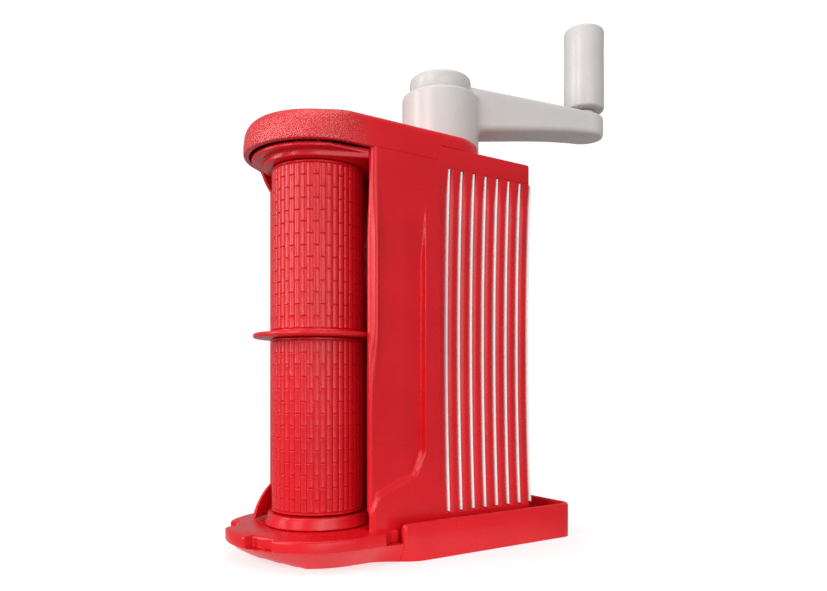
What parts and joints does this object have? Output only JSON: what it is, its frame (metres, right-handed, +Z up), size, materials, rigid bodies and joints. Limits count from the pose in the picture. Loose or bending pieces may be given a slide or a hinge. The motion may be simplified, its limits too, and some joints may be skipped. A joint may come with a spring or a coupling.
{
  "type": "hand-cranked fruit peeling roller",
  "caption": "Upright plastic kitchen tool with a textured roller behind an open front, a geared crank on top and a rimmed base.",
  "frame": {"origin": "on the underside of the base, straight below the roller's axis", "axes": "+Z up along the roller and crank axes; +X from the roller towards the crank; -Y is the open loading side"},
  "size_m": [0.1926, 0.079, 0.2584],
  "materials": {
    "red_plastic": "glossy injection-moulded ABS",
    "roller_plastic": "moulded brick-pattern ABS",
    "white_plastic": "satin off-white moulded ABS",
    "gear_acetal": "natural acetal",
    "steel": "turned stainless steel",
    "foot_rubber": "matt rubber"
  },
  "bodies": {
    "housing": {"base_tray": "red_plastic", "body_housing": "red_plastic", "body_screw_1": "steel", "body_screw_2": "steel", "body_screw_3": "steel", "body_screw_4": "steel", "bottom_cover": "red_plastic", "comb_far": "white_plastic", "comb_near": "white_plastic", "cover_screw_1": "steel", "cover_screw_2": "steel", "cover_screw_3": "steel", "gear_plate": "red_plastic", "guide_cradle": "red_plastic", "idler_pin": "steel", "lid_screw_1": "steel", "lid_screw_2": "steel", "lid_screw_3": "steel", "lid_screw_4": "steel", "lower_roller_bush": "gear_acetal", "lower_shaft_bush": "gear_acetal", "plate_screw_1": "steel", "plate_screw_2": "steel", "roller_seat": "red_plastic", "rubber_foot_front_far": "foot_rubber", "rubber_foot_front_near": "foot_rubber", "rubber_foot_rear_far": "foot_rubber", "rubber_foot_rear_near": "foot_rubber", "seat_screw_1": "steel", "seat_screw_2": "steel", "seat_screw_3": "steel", "top_lid": "red_plastic", "upper_roller_bush": "gear_acetal", "upper_shaft_bush": "gear_acetal"},
    "crank": {"crank_arm": "white_plastic", "hub_cap": "white_plastic", "crank_screw": "steel", "grip_pin": "steel", "drive_shaft": "steel", "drive_gear": "gear_acetal", "shaft_clip": "steel"},
    "grip": {"grip": "white_plastic"},
    "idler": {"idler_gear": "gear_acetal"},
    "roller": {"roller_axle": "steel", "axle_clip": "steel", "lower_sleeve": "roller_plastic", "divider_disc": "red_plastic", "upper_sleeve": "roller_plastic", "roller_gear": "gear_acetal"}
  },
  "joints": [
    {"name": "crank_turn", "type": "hinge", "parent": "housing", "child": "crank", "pos_m": [0.066, 0, 0.19], "axis": [0, 0, 1], "continuous": true},
    {"name": "grip_spin", "type": "hinge", "parent": "crank", "child": "grip", "pos_m": [0.1429, -0.02205, 0.236], "axis": [0, 0, 1], "continuous": true},
    {"name": "idler_spin", "type": "hinge", "parent": "housing", "child": "idler", "pos_m": [0.033, 0, 0.173], "axis": [0, 0, 1], "continuous": true},
    {"name": "roller_spin", "type": "hinge", "parent": "housing", "child": "roller", "pos_m": [0, 0, 0.094], "axis": [0, 0, 1], "continuous": true}
  ],
  "couplings": [
    {"joint": "idler_spin", "follows": "crank_turn", "ratio": -1},
    {"joint": "roller_spin", "follows": "crank_turn", "ratio": 1}
  ]
}
